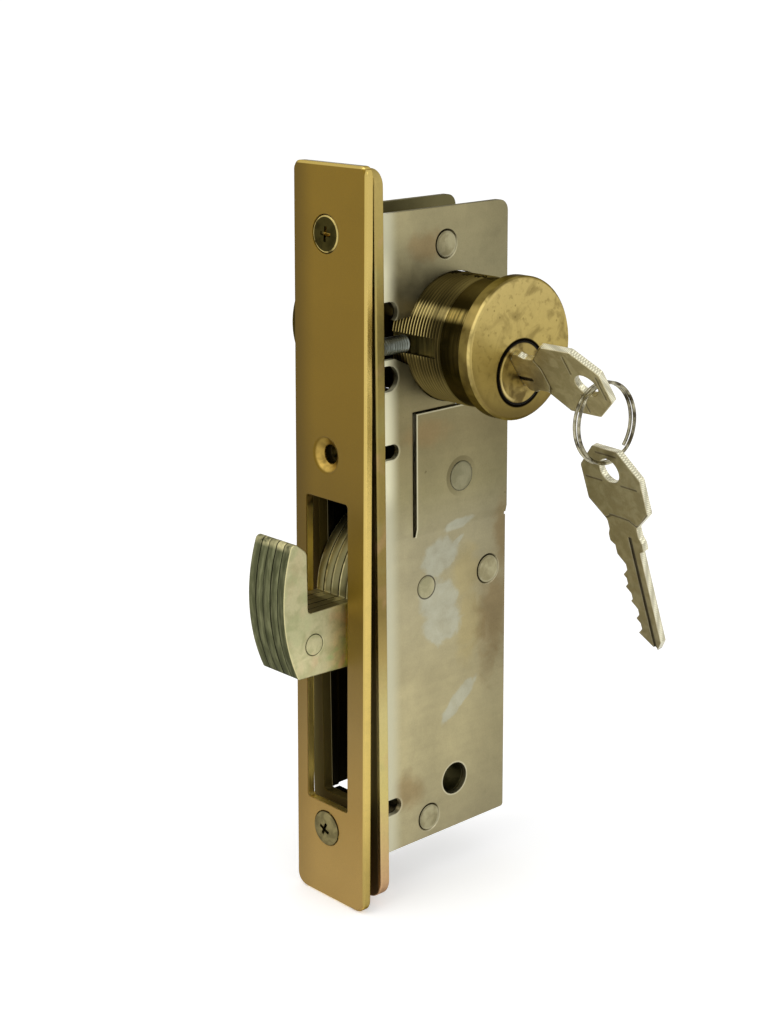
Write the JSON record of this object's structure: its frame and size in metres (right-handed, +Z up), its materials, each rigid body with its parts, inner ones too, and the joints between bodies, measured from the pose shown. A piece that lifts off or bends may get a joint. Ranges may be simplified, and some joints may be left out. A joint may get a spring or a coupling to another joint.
{
  "type": "sliding door lock",
  "caption": "Mortise lock for a sliding door: a laminated hook bolt swings out of a folded steel case, thrown by keyed cylinders through a lever, with keys on a split ring.",
  "frame": {"origin": "middle of the case's thickness, on the rear face of the front plate, midway between its stile holes", "axes": "+Y into the door behind the front plate, +Z up, +X to the side where the key is"},
  "size_m": [0.0905, 0.0693, 0.1711],
  "materials": {
    "gold_plate": "satin gold plate with a bright side edge",
    "yellow_zinc": "yellow passivated zinc with faint green and pink",
    "case_zinc": "dull zinc plate with pale worn patches",
    "screw_nickel": "dark nickel",
    "blue_zinc": "bluish zinc",
    "pin_steel": "plain steel",
    "bolt_zinc": "yellow passivated zinc",
    "lever_zinc": "zinc plate",
    "spring_steel": "drawn wire",
    "key_nickel": "nickel plate with milled edges",
    "ring_nickel": "bright nickel plate",
    "cylinder_brass": "aged scuffed brass",
    "plug_brass": "worn brass",
    "pin_brass": "plain brass"
  },
  "bodies": {
    "case": {"faceplate": "gold_plate", "front_plate": "yellow_zinc", "case_shell": "case_zinc", "case_pillars": "case_zinc", "plate_rivets": "case_zinc", "faceplate_screws": "screw_nickel", "cylinder_set_screws": "blue_zinc", "bolt_pivot_pin": "pin_steel", "bolt_washers": "pin_steel", "lever_spacers": "pin_steel", "lever_pivot_pin": "pin_steel", "near_cylinder_body": "cylinder_brass", "near_driver_pins": "pin_brass", "near_pin_springs": "spring_steel", "near_chamber_caps": "pin_brass", "far_cylinder_body": "cylinder_brass", "far_plug": "plug_brass", "far_cam": "plug_brass", "far_cam_screws": "blue_zinc", "far_key_pins": "pin_brass", "far_driver_pins": "pin_brass", "far_pin_springs": "spring_steel", "far_chamber_caps": "pin_brass"},
    "hook_bolt": {"bolt_plate_1": "bolt_zinc", "bolt_plate_2": "bolt_zinc", "bolt_plate_3": "bolt_zinc", "bolt_plate_4": "bolt_zinc", "bolt_plate_5": "bolt_zinc", "bolt_rivets": "bolt_zinc"},
    "lever": {"lever_core": "lever_zinc", "lever_fork_near": "lever_zinc", "lever_fork_far": "lever_zinc", "lever_rivets": "pin_steel", "drive_pin": "pin_steel"},
    "key_plug": {"near_plug": "plug_brass", "near_cam": "plug_brass", "near_cam_screws": "blue_zinc", "near_key_pins": "pin_brass", "key": "key_nickel"},
    "ring": {"key_ring": "ring_nickel"},
    "second_key": {"spare_key": "key_nickel"}
  },
  "joints": [
    {"name": "bolt_turn", "type": "hinge", "parent": "case", "child": "hook_bolt", "pos_m": [0, 0.01625, -0.0126], "axis": [1, 0, 0], "range_deg": [0, 88]},
    {"name": "lever_turn", "type": "hinge", "parent": "case", "child": "lever", "pos_m": [0, 0.02695, 0.0121], "axis": [1, 0, 0], "range_deg": [-34.05, 0]},
    {"name": "key_turn", "type": "hinge", "parent": "case", "child": "key_plug", "pos_m": [0, 0.02505, 0.03955], "axis": [1, 0, 0], "range_deg": [0, 90.3]},
    {"name": "ring_swing", "type": "hinge", "parent": "key_plug", "child": "ring", "pos_m": [0.0497, 0.02549, 0.03892], "axis": [1, 0, 0], "range_deg": [-30, 18]},
    {"name": "second_key_swing", "type": "hinge", "parent": "ring", "child": "second_key", "pos_m": [0.05123, 0.03025, 0.02249], "axis": [1, 0, 0], "range_deg": [-20, 20]}
  ],
  "couplings": [
    {"joint": "lever_turn", "follows": "bolt_turn", "ratio": -0.38636},
    {"joint": "key_turn", "follows": "bolt_turn", "ratio": 1.0258}
  ]
}
